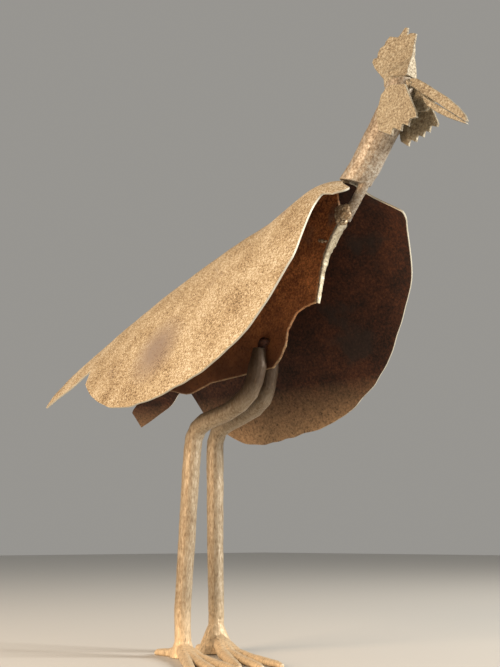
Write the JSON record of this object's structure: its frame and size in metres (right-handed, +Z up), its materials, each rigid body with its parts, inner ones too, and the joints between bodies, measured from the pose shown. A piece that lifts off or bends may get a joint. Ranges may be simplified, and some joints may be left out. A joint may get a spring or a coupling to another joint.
{
  "type": "hen sculpture",
  "caption": "Standing hen sculpture of rusted forged iron: one saddled sheet for back, wings and tail, bar neck and legs, toothed comb and wattles.",
  "frame": {"origin": "middle of the underside of the box around the hen, on the ground the feet stand on", "axes": "+X towards the beak, +Y towards the hen's left wing, +Z up"},
  "size_m": [0.5116, 0.2008, 0.5457],
  "materials": {
    "sheet_iron": "matt ochre-brown rust",
    "plate_iron": "matt dark brown rust",
    "bar_iron": "matt tan rust, worn",
    "head_iron": "matt tan rust, worn"
  },
  "bodies": {
    "root": {"wing_sheet": "sheet_iron", "body_plate": "plate_iron", "neck": "bar_iron", "breast_rod": "bar_iron", "comb": "head_iron", "right_wattle": "head_iron", "left_wattle": "head_iron", "upper_beak": "head_iron", "lower_beak": "head_iron", "right_leg": "bar_iron", "left_leg": "bar_iron", "right_foot": "bar_iron", "left_foot": "bar_iron"}
  },
  "joints": []
}
